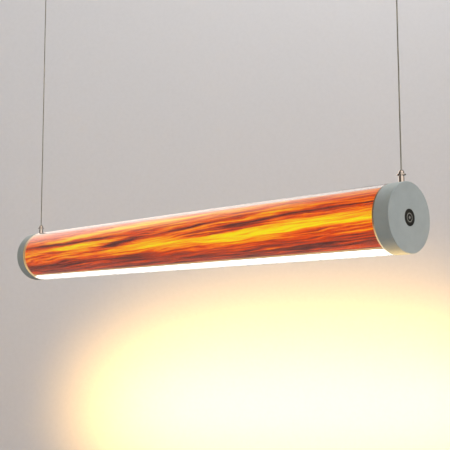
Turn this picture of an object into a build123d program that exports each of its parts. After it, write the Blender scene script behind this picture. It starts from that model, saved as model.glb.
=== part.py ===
from build123d import *
from math import cos, pi, radians, sin, sqrt, tan
import os

# A linear pendant lamp, in millimetres. +X runs along the lamp, +Z is up, and the origin
# is on the ceiling, midway between the two ceiling fittings. Each half mirrors the other.

# Driving sizes of the lamp
lamp_length = 950.0
tube_diameter = 100.0
tube_wall = 3.0
cap_width = 23.5
cap_wall = 4.0
cap_edge_round = 1.0
lamp_drop = 620.0
cable_diameter = 2.0

# The rolled veneer shade and the light slot along its underside
seal_thickness = 1.0
seal_lip_depth = 3.0
seal_cover = 2.0
veneer_air_gap = 1.0
veneer_thickness = 0.6
liner_thickness = 0.8
light_slot_angle = 56.0
edge_band_angle = 1.6
diffuser_thickness = 1.6
diffuser_leg = 2.4

# The spine and its boards
bulkhead_thickness = 6.0
spine_width = 32.0
spine_height = 20.0
spine_wall = 2.0
screw_port_radius = 3.0
reflector_thickness = 0.8
wing_gap = 0.13
board_width = 12.0
board_thickness = 1.0
led_length = 3.5
led_width = 2.8
led_height = 0.8
led_pitch = 25.0

# Screws
tie_screw_diameter = 6.0
tie_head_diameter = 10.0
tie_head_height = 3.0
tie_screw_tip = 2.0
tie_socket = 4.0
tie_socket_depth = 1.5
spine_screw_diameter = 3.0
spine_head_diameter = 6.5
spine_head_height = 2.2
spine_screw_length = 16.0
boss_gap = 0.25

# Badge in the middle of each end cap
badge_diameter = 24.0
badge_thickness = 2.0
emblem_depth = 0.3
emblem_ring_diameter = 13.0
emblem_line = 1.1
emblem_dot_diameter = 4.0

# Cable gripper that stands on each end cap
barrel_diameter = 8.0
barrel_height = 8.6
barrel_chamfer = 0.4
release_travel = 1.2
ring_diameter = 12.5
ring_thickness = 1.6
ring_edge_round = 0.4
ring_gap = 0.2
dome_diameter = 8.0
sleeve_wall = 1.2
mouth_depth = 1.2
mouth_flare = 0.7
grip_ball_diameter = 1.5
grip_ball_count = 3
cone_length = 5.0
cone_rise = 0.5
spring_chamber = 9.0
gripper_floor = 3.0
spring_wire = 0.5
spring_turns = 6
insulator_wall = 0.95
insulator_flange = 1.2
flange_diameter = 14.0
washer_thickness = 0.8
nut_width = 12.0
nut_thickness = 4.0
tail_below_gripper = 4.0
ferrule_length = 6.0
ferrule_wall = 0.95
lead_diameter = 2.2
lead_bend = 6.0
lead_entry = 4.0
lead_above_spine = 0.6

# Terminal block and grommet where the lead goes through the bulkhead
block_length = 16.0
block_width = 12.0
block_height = 12.0
block_corner = 1.0
block_screw_diameter = 4.0
block_screw_depth = 3.0
grommet_flange = 1.3
grommet_neck = 1.6
grommet_lip = 1.2

# Ceiling fitting over each cable
plate_thickness = 3.0
fitting_diameter = 30.0
cup_depth = 28.0
cup_wall = 2.5
cup_edge_round = 3.0
boss_wall = 2.9
ceiling_screw_hole = 4.5
countersink_depth = 1.5
wire_hole = 3.2
wire_hole_offset = 6.9
swivel_diameter = 12.0
swivel_stand_out = 3.0
swivel_top = 3.5
retainer_thickness = 2.0
retainer_lift = 4.6
retainer_hole = 9.0
terminal_thickness = 0.8
terminal_tab_height = 6.0
terminal_tab_width = 3.0
nipple_diameter = 4.4
sway_limit = 10.0

# Named clearances
snug = 0.05
fit = 0.1
easy = 0.2
apart = 0.3
end_play = 0.5

# Lamp axis and the radii that lie inside one another, and where the screw ports lie
half_length = lamp_length / 2
axis_height = -lamp_drop
tube_radius = tube_diameter / 2
bore_radius = tube_radius - tube_wall
veneer_radius = bore_radius - veneer_air_gap
liner_radius = veneer_radius - veneer_thickness
liner_inside = liner_radius - liner_thickness
bulkhead_radius = liner_inside - easy
port_y = spine_width / 2 - spine_wall - screw_port_radius + end_play
rim_top = axis_height + tube_radius

# Depths along the lamp, from the outer face of an end cap
cable_depth = cap_width / 2
tube_depth = cap_width + seal_thickness
sheet_depth = tube_depth + seal_lip_depth + end_play
spine_depth = tube_depth + bulkhead_thickness
cable_x = half_length - cable_depth
boss_depth = tube_depth - easy

# The grommet and the lead pass just above the spine
lead_hole = lead_diameter / 2 + fit
grommet_radius = lead_hole + grommet_neck
lead_height = spine_height / 2 + grommet_radius + grommet_lip + lead_above_spine
block_depth = spine_depth + grommet_flange + end_play

# Heights of the gripper
barrel_top = rim_top + barrel_height
ring_bottom = barrel_top + release_travel + ring_gap
ring_top = ring_bottom + ring_thickness
dome_centre = ring_top + dome_diameter / 2 - (ring_thickness - ring_gap)
dome_top = dome_centre + dome_diameter / 2
mouth_pivot = dome_top - mouth_depth
cone_top = rim_top + barrel_height / 2
cone_bottom = cone_top - cone_length
chamber_floor = cone_bottom - spring_chamber
gripper_bottom = chamber_floor - gripper_floor
sleeve_bottom = cone_top - cone_length / 2 - grip_ball_diameter / 2
grip_ball_height = sleeve_bottom + grip_ball_diameter
spot_face = rim_top - cap_wall
washer_top = spot_face - insulator_flange
nut_top = washer_top - washer_thickness
nut_bottom = nut_top - nut_thickness
tail_bottom = gripper_bottom - tail_below_gripper
ferrule_top = tail_bottom + ferrule_length / 2

# Radii of the gripper and the cable
cable_radius = cable_diameter / 2
cable_way = cable_radius + apart
sleeve_radius = cable_way + sleeve_wall
guide_radius = sleeve_radius + fit
chamber_radius = guide_radius + cone_rise
barrel_radius = barrel_diameter / 2
insulator_radius = barrel_radius + snug + insulator_wall
gap_at_pivot = apart / 2

# Heights of the ceiling fitting
cup_bottom = -plate_thickness - cup_depth
swivel_height = cup_bottom + swivel_stand_out
swivel_radius = swivel_diameter / 2
fitting_radius = fitting_diameter / 2
cup_bore = fitting_radius - cup_wall
boss_radius = cup_bore - fit
boss_inside = boss_radius - boss_wall
retainer_bottom = swivel_height + retainer_lift
retainer_top = retainer_bottom + retainer_thickness
nipple_radius = nipple_diameter / 2
pocket_radius = nipple_radius + snug
neck_radius = cable_way + apart
neck_drop = sqrt(pocket_radius**2 - neck_radius**2)
flare_radius = swivel_radius * tan(radians(sway_limit)) + cable_way + apart
cable_top = swivel_height + nipple_radius - apart

named_sides = {"left": -1, "right": 1}
both_sides = tuple(named_sides.values())

os.makedirs("parts", exist_ok=True)


def keep(piece, label):
    """Names a finished piece and writes it to its own file."""
    piece.part.label = label
    export_step(piece.part, f"parts/{label}.step")


def turning_plane(x):
    """Plane through the upright line at x, with its own x outwards and its own y up."""
    return Plane(origin=(x, 0, 0), x_dir=(1, 0, 0), z_dir=(0, -1, 0))


def upright(x):
    """The upright line that a cable and its fittings are turned about."""
    return Axis((x, 0, 0), (0, 0, 1))


def level(x, z):
    """Level plane at height z, centred on the cable at x."""
    return Plane(origin=(x, 0, z))


def cross_section(x=0.0):
    """Plane across the lamp, centred on its axis, with its own y up."""
    return Plane(origin=(x, 0, axis_height), x_dir=(0, 1, 0), z_dir=(1, 0, 0))


def end_plane(side, depth=0.0):
    """Plane across the lamp at a depth inside the end face, facing into the lamp."""
    origin = (side * (half_length - depth), 0, axis_height)
    return Plane(origin=origin, x_dir=(0, -side, 0), z_dir=(-side, 0, 0))


def end_profile_plane(side):
    """Plane through the lamp's axis, with its own x as the depth and its own y as the radius."""
    origin = (side * half_length, 0, axis_height)
    return Plane(origin=origin, x_dir=(-side, 0, 0), z_dir=(0, side, 0))


lamp_axis = Axis((0, 0, axis_height), (1, 0, 0))


def curved_strip(outside, thickness, middle, spread):
    """Section of a strip rolled about the lamp's axis, as an arc with square edges."""
    with BuildSketch(cross_section()) as strip:
        with BuildLine():
            outer = CenterArc((0, 0), outside, middle - spread / 2, spread)
            inner = CenterArc((0, 0), outside - thickness, middle - spread / 2, spread)
            Line(outer @ 0, inner @ 0)
            Line(outer @ 1, inner @ 1)
        make_face()
    return strip.sketch


# ---------------------------------------------------------------- lamp body, middle

with BuildPart() as clear_tube:
    with BuildSketch(cross_section()):
        Circle(tube_radius)
        Circle(bore_radius, mode=Mode.SUBTRACT)
    extrude(amount=half_length - tube_depth, both=True)
keep(clear_tube, "clear_tube")

sheet_half = half_length - sheet_depth
spine_half = half_length - spine_depth
straight_up = 90.0
straight_down = -90.0
wrap_angle = 360.0 - light_slot_angle

veneer_section = curved_strip(veneer_radius, veneer_thickness, straight_up, wrap_angle)
with BuildPart() as veneer_shade:
    extrude(veneer_section, amount=sheet_half, both=True)
keep(veneer_shade, "veneer_shade")

liner_section = curved_strip(liner_radius, liner_thickness, straight_up, wrap_angle)
with BuildPart() as shade_liner:
    extrude(liner_section, amount=sheet_half, both=True)
keep(shade_liner, "shade_liner")

# An edge band closes each long edge of the veneer, beside the light slot.
band_middle = (light_slot_angle - edge_band_angle) / 2
band_thickness = veneer_thickness + liner_thickness
front_band = curved_strip(veneer_radius, band_thickness, straight_down - band_middle, edge_band_angle)
rear_band = curved_strip(veneer_radius, band_thickness, straight_down + band_middle, edge_band_angle)
with BuildPart() as edge_bands:
    extrude(front_band, amount=sheet_half, both=True)
    extrude(rear_band, amount=sheet_half, both=True)
keep(edge_bands, "edge_bands")

# The opal diffuser fills the slot and has a leg along each edge.
edge_play_angle = 180.0 * easy / (pi * veneer_radius)
diffuser_angle = light_slot_angle - 2 * edge_band_angle - 2 * edge_play_angle
leg_angle = 180.0 * diffuser_thickness / (pi * liner_inside)
leg_middle = (diffuser_angle - leg_angle) / 2
diffuser_section = curved_strip(veneer_radius, diffuser_thickness, straight_down, diffuser_angle)
leg_outside = veneer_radius - diffuser_thickness
front_leg = curved_strip(leg_outside, diffuser_leg, straight_down - leg_middle, leg_angle)
rear_leg = curved_strip(leg_outside, diffuser_leg, straight_down + leg_middle, leg_angle)
with BuildPart() as opal_diffuser:
    extrude(diffuser_section, amount=sheet_half, both=True)
    extrude(front_leg, amount=spine_half - easy, both=True)
    extrude(rear_leg, amount=spine_half - easy, both=True)
keep(opal_diffuser, "opal_diffuser")

# The spine is a box section with a screw port in each side wall.
with BuildPart() as spine:
    with BuildSketch(cross_section()):
        Rectangle(spine_width, spine_height)
        Rectangle(spine_width - 2 * spine_wall, spine_height - 2 * spine_wall, mode=Mode.SUBTRACT)
        with Locations((-port_y, 0), (port_y, 0)):
            Circle(screw_port_radius)
            Circle(spine_screw_diameter / 2 + snug, mode=Mode.SUBTRACT)
    extrude(amount=spine_half, both=True)
    long_corners = spine.edges().filter_by(Axis.X).filter_by(
        lambda edge: abs(abs(edge.center().Y) - spine_width / 2) < snug
    )
    fillet(long_corners, radius=spine_wall / 2)
keep(spine, "spine")

# The reflector is folded sheet: flat under the spine, with a wing that passes just inside
# the top edge of each diffuser leg and ends halfway down the leg.
shoulder = (spine_width / 2 - spine_wall, -spine_height / 2)
wing_angle = radians(diffuser_angle / 2 - leg_angle)
leg_top = leg_outside - diffuser_leg
passing_point = (leg_top * sin(wing_angle) - wing_gap, -leg_top * cos(wing_angle))
foot_height = -(leg_outside - diffuser_leg / 2) * cos(wing_angle)
lean = (passing_point[0] - shoulder[0]) / (passing_point[1] - shoulder[1])
wing_foot = (shoulder[0] + lean * (foot_height - shoulder[1]), foot_height)
with BuildPart() as down_reflector:
    with BuildSketch(cross_section()):
        with BuildLine():
            Polyline((-wing_foot[0], wing_foot[1]), (-shoulder[0], shoulder[1]), shoulder, wing_foot)
            offset(amount=reflector_thickness, side=Side.RIGHT)
        make_face()
    extrude(amount=spine_half - easy, both=True)
keep(down_reflector, "down_reflector")

# Three LED boards: one shines down through the slot, and one on each side lights the veneer.
board_half = spine_half - block_length
led_count = int(2 * (board_half - led_length) / led_pitch) + 1
down_face = Plane(
    origin=(0, 0, axis_height - spine_height / 2 - reflector_thickness),
    x_dir=(1, 0, 0),
    z_dir=(0, 0, -1),
)
front_face = Plane(origin=(0, -spine_width / 2, axis_height), x_dir=(1, 0, 0), z_dir=(0, -1, 0))
rear_face = Plane(origin=(0, spine_width / 2, axis_height), x_dir=(1, 0, 0), z_dir=(0, 1, 0))
board_faces = {"down": down_face, "front": front_face, "rear": rear_face}
for place, face in board_faces.items():
    with BuildPart() as led_board:
        with BuildSketch(face):
            Rectangle(2 * board_half, board_width)
        extrude(amount=board_thickness)
    keep(led_board, f"{place}_led_board")

    with BuildPart() as led_row:
        with BuildSketch(face.offset(board_thickness)):
            with GridLocations(led_pitch, 0, led_count, 1):
                Rectangle(led_length, led_width)
        extrude(amount=led_height)
    keep(led_row, f"{place}_leds")


# ---------------------------------------------------------------- lamp body, each end


def make_end_cap(side):
    """Cup with a hollow boss for the tie screw, a badge recess and a seat for the gripper."""
    inside = tube_radius - cap_wall
    hole = tie_screw_diameter / 2 + apart
    boss = port_y - spine_head_diameter / 2 - boss_gap
    head = tie_head_diameter / 2 + apart
    head_seat = badge_thickness + tie_head_height + easy
    recess = badge_diameter / 2 + fit
    with BuildPart() as cap:
        with BuildSketch(end_profile_plane(side)):
            with BuildLine():
                Polyline(
                    (0, recess),
                    (0, tube_radius),
                    (cap_width, tube_radius),
                    (cap_width, inside),
                    (cap_wall, inside),
                    (cap_wall, boss),
                    (boss_depth, boss),
                    (boss_depth, hole),
                    (head_seat, hole),
                    (head_seat, head),
                    (badge_thickness, head),
                    (badge_thickness, recess),
                    close=True,
                )
            make_face()
        revolve(axis=lamp_axis)
        rims = cap.edges().filter_by(GeomType.CIRCLE).sort_by(SortBy.RADIUS)
        front_rim = rims.filter_by(lambda edge: edge.radius > tube_radius - snug)
        fillet(front_rim.sort_by(Axis.X)[-1 if side > 0 else 0], radius=cap_edge_round)
        with BuildSketch(level(side * cable_x, axis_height)):
            Circle(insulator_radius + snug)
        extrude(amount=tube_radius, mode=Mode.SUBTRACT)
        with BuildSketch(level(side * cable_x, nut_bottom - easy)):
            Circle(flange_diameter / 2 + easy)
        extrude(amount=spot_face - nut_bottom + easy, mode=Mode.SUBTRACT)
    return cap


def make_badge(side):
    """Disc that covers the tie screw, with shallow grooves for its plain emblem."""
    with BuildPart() as badge:
        with BuildSketch(end_plane(side)):
            Circle(badge_diameter / 2)
        extrude(amount=badge_thickness)
        with BuildSketch(end_plane(side)):
            Circle(emblem_ring_diameter / 2)
            Circle(emblem_ring_diameter / 2 - emblem_line, mode=Mode.SUBTRACT)
            Circle(emblem_dot_diameter / 2)
        extrude(amount=emblem_depth, mode=Mode.SUBTRACT)
    return badge


def make_end_seal(side):
    """L-section silicone ring: a flange under the cap and a lip that centres the tube."""
    lip_outside = bore_radius - easy
    lip_inside = bulkhead_radius + easy
    flange_inside = bulkhead_radius - seal_cover
    with BuildPart() as seal:
        with BuildSketch(end_profile_plane(side)):
            with BuildLine():
                Polyline(
                    (cap_width, flange_inside),
                    (cap_width, tube_radius - easy),
                    (tube_depth, tube_radius - easy),
                    (tube_depth, lip_outside),
                    (tube_depth + seal_lip_depth, lip_outside),
                    (tube_depth + seal_lip_depth, lip_inside),
                    (tube_depth, lip_inside),
                    (tube_depth, flange_inside),
                    close=True,
                )
            make_face()
        revolve(axis=lamp_axis)
    return seal


def make_bulkhead(side):
    """End plate that the spine is screwed to, tapped for the tie screw."""
    with BuildPart() as bulkhead:
        with BuildSketch(end_plane(side, tube_depth)):
            Circle(bulkhead_radius)
            Circle(tie_screw_diameter / 2 + snug, mode=Mode.SUBTRACT)
            with Locations((-port_y, 0), (port_y, 0)):
                Circle(spine_screw_diameter / 2 + fit, mode=Mode.SUBTRACT)
            with Locations((0, lead_height)):
                Circle(grommet_radius, mode=Mode.SUBTRACT)
        extrude(amount=bulkhead_thickness)
    return bulkhead


def make_grommet(side):
    """Rubber ring snapped into the bulkhead, with a lip on both faces, round the lead."""
    with BuildPart() as grommet:
        with BuildSketch(end_plane(side, tube_depth - grommet_flange)):
            with Locations((0, lead_height)):
                Circle(grommet_radius + grommet_lip)
        extrude(amount=grommet_flange)
        with BuildSketch(end_plane(side, tube_depth)):
            with Locations((0, lead_height)):
                Circle(grommet_radius)
        extrude(amount=bulkhead_thickness)
        with BuildSketch(end_plane(side, spine_depth)):
            with Locations((0, lead_height)):
                Circle(grommet_radius + grommet_lip)
        extrude(amount=grommet_flange)
        with BuildSketch(end_plane(side)):
            with Locations((0, lead_height)):
                Circle(lead_hole)
        extrude(amount=2 * spine_depth, mode=Mode.SUBTRACT)
    return grommet


def make_terminal_block(side):
    """Two-way screw terminal on top of the spine, with the lead's entry in its end."""
    middle = side * (half_length - block_depth - block_length / 2)
    block_bottom = axis_height + spine_height / 2
    with BuildPart() as block:
        with BuildSketch(level(middle, block_bottom)):
            RectangleRounded(block_length, block_width, radius=block_corner)
        extrude(amount=block_height)
        with BuildSketch(level(middle, block_bottom + block_height)):
            with GridLocations(block_length / 2, 0, 2, 1):
                Circle(block_screw_diameter / 2)
        extrude(amount=-block_screw_depth, mode=Mode.SUBTRACT)
        with BuildSketch(end_plane(side, block_depth)):
            with Locations((0, lead_height)):
                Circle(lead_hole)
        extrude(amount=lead_entry, mode=Mode.SUBTRACT)
    return block


def make_lead(side):
    """Lead from the cable's ferrule, down and round through the grommet to the terminal."""
    lead_x = side * cable_x
    lead_z = axis_height + lead_height
    lead_end = side * (half_length - block_depth - lead_entry + fit)
    start = (lead_x, 0, ferrule_top - ferrule_length)
    with BuildPart() as lead:
        with BuildLine() as route:
            FilletPolyline(start, (lead_x, 0, lead_z), (lead_end, 0, lead_z), radius=lead_bend)
        with BuildSketch(Plane(origin=route.line @ 0, z_dir=route.line % 0)):
            Circle(lead_diameter / 2)
        sweep()
    return lead


def make_ferrule(x):
    """Crimped sleeve that joins the end of the cable to the lead."""
    with BuildPart() as ferrule:
        with BuildSketch(level(x, ferrule_top)):
            Circle(cable_radius + snug + ferrule_wall)
        extrude(amount=-ferrule_length)
        with BuildSketch(level(x, ferrule_top)):
            Circle(cable_radius + snug)
        extrude(amount=-ferrule_length / 2, mode=Mode.SUBTRACT)
    return ferrule


def make_cable_tail(x):
    """The gripped end of the cable, from the gripper's mouth down into the end cap."""
    with BuildPart() as tail:
        with BuildSketch(level(x, tail_bottom)):
            Circle(cable_radius)
        extrude(amount=mouth_pivot - gap_at_pivot - tail_bottom)
    return tail


def make_gripper_body(x):
    """Turned barrel with a guide, a grip cone, a spring chamber and a floor."""
    with BuildPart() as body:
        with BuildSketch(turning_plane(x)):
            with BuildLine():
                Polyline(
                    (cable_way, gripper_bottom),
                    (barrel_radius - barrel_chamfer, gripper_bottom),
                    (barrel_radius, gripper_bottom + barrel_chamfer),
                    (barrel_radius, barrel_top - barrel_chamfer),
                    (barrel_radius - barrel_chamfer, barrel_top),
                    (guide_radius, barrel_top),
                    (guide_radius, cone_top),
                    (chamber_radius, cone_bottom),
                    (chamber_radius, chamber_floor),
                    (cable_way, chamber_floor),
                    close=True,
                )
            make_face()
        revolve(axis=upright(x))
    return body


def make_plunger(x):
    """Release plunger: a ball-shaped head, a finger ring, and a sleeve that cages the grip balls."""
    with BuildPart() as plunger:
        with BuildSketch(level(x, sleeve_bottom)):
            Circle(sleeve_radius)
        extrude(amount=ring_bottom - sleeve_bottom)
        with BuildSketch(level(x, ring_bottom)):
            Circle(ring_diameter / 2)
        extrude(amount=ring_thickness)
        ring_edges = plunger.edges().filter_by(GeomType.CIRCLE)
        fillet(
            ring_edges.filter_by(lambda edge: edge.radius > ring_diameter / 2 - snug),
            radius=ring_edge_round,
        )
        with Locations((x, 0, dome_centre)):
            Sphere(dome_diameter / 2)
        with BuildSketch(level(x, sleeve_bottom)):
            Circle(cable_way)
        extrude(amount=dome_top - sleeve_bottom, mode=Mode.SUBTRACT)
        with BuildSketch(turning_plane(x)):
            with BuildLine():
                Polyline(
                    (0, mouth_pivot - mouth_depth),
                    (cable_way, mouth_pivot - mouth_depth),
                    (cable_way + mouth_flare, dome_top),
                    (0, dome_top),
                    close=True,
                )
            make_face()
        revolve(axis=upright(x), mode=Mode.SUBTRACT)
        for number in range(grip_ball_count):
            angle = 2 * pi * number / grip_ball_count
            outwards = (cos(angle), sin(angle), 0)
            with BuildSketch(Plane(origin=(x, 0, grip_ball_height), z_dir=outwards)):
                Circle(grip_ball_diameter / 2 + snug)
            extrude(amount=2 * sleeve_radius, mode=Mode.SUBTRACT)
    return plunger


def make_grip_balls(x):
    """Small steel balls that wedge between the cable and the cone."""
    ring = cable_radius + fit + grip_ball_diameter / 2
    with BuildPart() as balls:
        with Locations(level(x, grip_ball_height)):
            with PolarLocations(ring, grip_ball_count):
                Sphere(grip_ball_diameter / 2)
    return balls


def make_spring(x):
    """Coil spring under the plunger's sleeve."""
    coil_radius = (chamber_radius + cable_radius) / 2
    rise = sleeve_bottom - chamber_floor - spring_wire - 2 * fit
    foot = chamber_floor + spring_wire / 2 + fit
    with BuildPart() as spring:
        with BuildLine(level(x, foot)) as coil:
            Helix(pitch=rise / spring_turns, height=rise, radius=coil_radius)
        with BuildSketch(Plane(origin=coil.line @ 0, z_dir=coil.line % 0)):
            Circle(spring_wire / 2)
        sweep(is_frenet=True)
    return spring


def make_insulator(x):
    """Flanged nylon bush between the gripper and the metal cap."""
    with BuildPart() as insulator:
        with BuildSketch(level(x, washer_top)):
            Circle(flange_diameter / 2)
        extrude(amount=insulator_flange)
        with BuildSketch(level(x, spot_face)):
            Circle(insulator_radius)
        extrude(amount=cap_wall - apart)
        with BuildSketch(level(x, washer_top)):
            Circle(barrel_radius + snug)
        extrude(amount=insulator_flange + cap_wall, mode=Mode.SUBTRACT)
    return insulator


for side_name, side in named_sides.items():
    cable_at = side * cable_x
    end_pieces = {
        "end_cap": make_end_cap(side),
        "badge": make_badge(side),
        "end_seal": make_end_seal(side),
        "bulkhead": make_bulkhead(side),
        "grommet": make_grommet(side),
        "terminal_block": make_terminal_block(side),
        "lead": make_lead(side),
        "cable_ferrule": make_ferrule(cable_at),
        "cable_tail": make_cable_tail(cable_at),
        "gripper_body": make_gripper_body(cable_at),
        "release_plunger": make_plunger(cable_at),
        "grip_balls": make_grip_balls(cable_at),
        "gripper_spring": make_spring(cable_at),
        "gripper_insulator": make_insulator(cable_at),
    }
    for piece_name, piece in end_pieces.items():
        keep(piece, f"{side_name}_{piece_name}")

with BuildPart() as badge_emblems:
    for side in both_sides:
        with BuildSketch(end_plane(side)):
            Circle(emblem_ring_diameter / 2)
            Circle(emblem_ring_diameter / 2 - emblem_line, mode=Mode.SUBTRACT)
            Circle(emblem_dot_diameter / 2)
        extrude(amount=emblem_depth)
keep(badge_emblems, "badge_emblems")

# Button-head tie screws, one through each cap into its bulkhead.
tie_head_depth = badge_thickness + easy
tie_shank_depth = tie_head_depth + tie_head_height
with BuildPart() as tie_screws:
    for side in both_sides:
        with BuildSketch(end_plane(side, tie_head_depth)):
            Circle(tie_head_diameter / 2)
        extrude(amount=tie_head_height)
        with BuildSketch(end_plane(side, tie_shank_depth)):
            Circle(tie_screw_diameter / 2)
        extrude(amount=spine_depth + tie_screw_tip - tie_shank_depth)
        with BuildSketch(end_plane(side, tie_head_depth)):
            RegularPolygon(tie_socket / 2, side_count=6)
        extrude(amount=tie_socket_depth, mode=Mode.SUBTRACT)
keep(tie_screws, "tie_screws")

with BuildPart() as spine_screws:
    for side in both_sides:
        with BuildSketch(end_plane(side, tube_depth - spine_head_height)):
            with Locations((-port_y, 0), (port_y, 0)):
                Circle(spine_head_diameter / 2)
        extrude(amount=spine_head_height)
        with BuildSketch(end_plane(side, tube_depth)):
            with Locations((-port_y, 0), (port_y, 0)):
                Circle(spine_screw_diameter / 2)
        extrude(amount=spine_screw_length)
keep(spine_screws, "spine_screws")

with BuildPart() as gripper_washers:
    for side in both_sides:
        with BuildSketch(level(side * cable_x, nut_top)):
            Circle(flange_diameter / 2 - easy)
            Circle(barrel_radius + fit, mode=Mode.SUBTRACT)
        extrude(amount=washer_thickness)
keep(gripper_washers, "gripper_washers")

with BuildPart() as gripper_nuts:
    for side in both_sides:
        with BuildSketch(level(side * cable_x, nut_bottom)):
            RegularPolygon(nut_width / 2, side_count=6, major_radius=False)
            Circle(barrel_radius + snug, mode=Mode.SUBTRACT)
        extrude(amount=nut_thickness)
keep(gripper_nuts, "gripper_nuts")


# ---------------------------------------------------------------- ceiling fittings


def make_ceiling_base(x):
    """Plate against the ceiling, with a hollow threaded boss that carries the cup."""
    with BuildPart() as base:
        with BuildSketch(level(x, -plate_thickness)):
            Circle(fitting_radius)
        extrude(amount=plate_thickness)
        with BuildSketch(level(x, -plate_thickness)):
            Circle(boss_radius)
            Circle(boss_inside, mode=Mode.SUBTRACT)
        extrude(amount=retainer_top + plate_thickness)
        with Locations(Plane(origin=(x, 0, -plate_thickness), z_dir=(0, 0, -1))):
            CounterSinkHole(
                radius=ceiling_screw_hole / 2,
                counter_sink_radius=ceiling_screw_hole / 2 + countersink_depth,
                depth=plate_thickness,
                counter_sink_angle=90,
            )
        with BuildSketch(level(x, -plate_thickness)):
            with Locations((0, wire_hole_offset)):
                Circle(wire_hole / 2)
        extrude(amount=plate_thickness, mode=Mode.SUBTRACT)
    return base


def make_ceiling_cup(x):
    """Cup that screws up over the boss, with a round seat for the swivel ball in its bottom."""
    with BuildPart() as cup:
        with BuildSketch(level(x, cup_bottom)):
            Circle(fitting_radius)
        extrude(amount=cup_depth)
        fillet(cup.edges().group_by(Axis.Z)[0], radius=cup_edge_round)
        with BuildSketch(level(x, retainer_bottom)):
            Circle(cup_bore)
        extrude(amount=cup_depth, mode=Mode.SUBTRACT)
        with BuildSketch(level(x, swivel_height)):
            Circle(swivel_radius + snug)
        extrude(amount=cup_depth, mode=Mode.SUBTRACT)
        with Locations((x, 0, swivel_height)):
            Sphere(swivel_radius + snug, mode=Mode.SUBTRACT)
    return cup


def make_swivel_ball(x):
    """Ball bush: a pocket for the cable's nipple, and a flared way out for the cable."""
    with BuildPart() as ball:
        with Locations((x, 0, swivel_height)):
            Sphere(swivel_radius)
        with BuildSketch(level(x, swivel_height + swivel_top)):
            Circle(swivel_radius)
        extrude(amount=swivel_radius, mode=Mode.SUBTRACT)
        with Locations((x, 0, swivel_height)):
            Sphere(pocket_radius, mode=Mode.SUBTRACT)
        with BuildSketch(level(x, swivel_height)):
            Circle(pocket_radius)
        extrude(amount=swivel_radius, mode=Mode.SUBTRACT)
        with BuildSketch(turning_plane(x)):
            with BuildLine():
                Polyline(
                    (0, swivel_height),
                    (neck_radius, swivel_height),
                    (neck_radius, swivel_height - neck_drop),
                    (flare_radius, swivel_height - swivel_radius),
                    (0, swivel_height - swivel_radius),
                    close=True,
                )
            make_face()
        revolve(axis=upright(x), mode=Mode.SUBTRACT)
    return ball


def make_retainer(x):
    """Brass ring, held by the boss, that keeps the ball in its seat."""
    with BuildPart() as retainer:
        with BuildSketch(level(x, retainer_bottom)):
            Circle(cup_bore - easy)
            Circle(retainer_hole / 2, mode=Mode.SUBTRACT)
        extrude(amount=retainer_thickness)
    return retainer


def make_nipple(x):
    """Round end stop crimped on the cable, which hangs in the swivel ball."""
    with BuildPart() as nipple:
        with Locations((x, 0, swivel_height)):
            Sphere(nipple_radius)
        with BuildSketch(level(x, swivel_height - nipple_radius)):
            Circle(cable_radius + snug)
        extrude(amount=nipple_diameter, mode=Mode.SUBTRACT)
    return nipple


def make_cable(x):
    """The free cable: one straight run from the nipple down to the gripper's mouth."""
    with BuildPart() as cable:
        with BuildSketch(level(x, mouth_pivot + gap_at_pivot)):
            Circle(cable_radius)
        extrude(amount=cable_top - mouth_pivot - gap_at_pivot)
    return cable


for side_name, side in named_sides.items():
    cable_at = side * cable_x
    ceiling_pieces = {
        "ceiling_base": make_ceiling_base(cable_at),
        "ceiling_cup": make_ceiling_cup(cable_at),
        "ball_retainer": make_retainer(cable_at),
        "swivel_ball": make_swivel_ball(cable_at),
        "cable_nipple": make_nipple(cable_at),
        "cable": make_cable(cable_at),
    }
    for piece_name, piece in ceiling_pieces.items():
        keep(piece, f"{side_name}_{piece_name}")

# A feed terminal lies on each retainer, with a tab up beside the screw for the supply wire.
with BuildPart() as feed_terminals:
    for side in both_sides:
        with BuildSketch(level(side * cable_x, retainer_top)):
            Circle(boss_inside - easy)
            Circle(retainer_hole / 2 + fit, mode=Mode.SUBTRACT)
        extrude(amount=terminal_thickness)
        with BuildSketch(level(side * cable_x, retainer_top + terminal_thickness)):
            with Locations((0, wire_hole_offset)):
                Rectangle(terminal_tab_width, terminal_thickness)
        extrude(amount=terminal_tab_height)
keep(feed_terminals, "feed_terminals")

print("each free cable is", round(cable_top - mouth_pivot - gap_at_pivot, 2), "mm long, one straight run")
print("the cables hang", round(2 * cable_x, 2), "mm apart")
print("the swivel pivots are at", round(swivel_height, 2), "and the mouths at", round(mouth_pivot, 2))
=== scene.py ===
"""A linear pendant lamp: a lit veneer shade in a clear tube, hung level on two cables.

The lamp's looks are built round its CAD frame, in metres, with +X along the lamp and +Z up.
"""

import logging
from dataclasses import dataclass
from enum import Enum
from functools import partialmethod
from math import asin, atan2, cos, degrees, pi, radians, sin, tau

import bmesh
import bpy
from mathutils import Matrix, Vector


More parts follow.
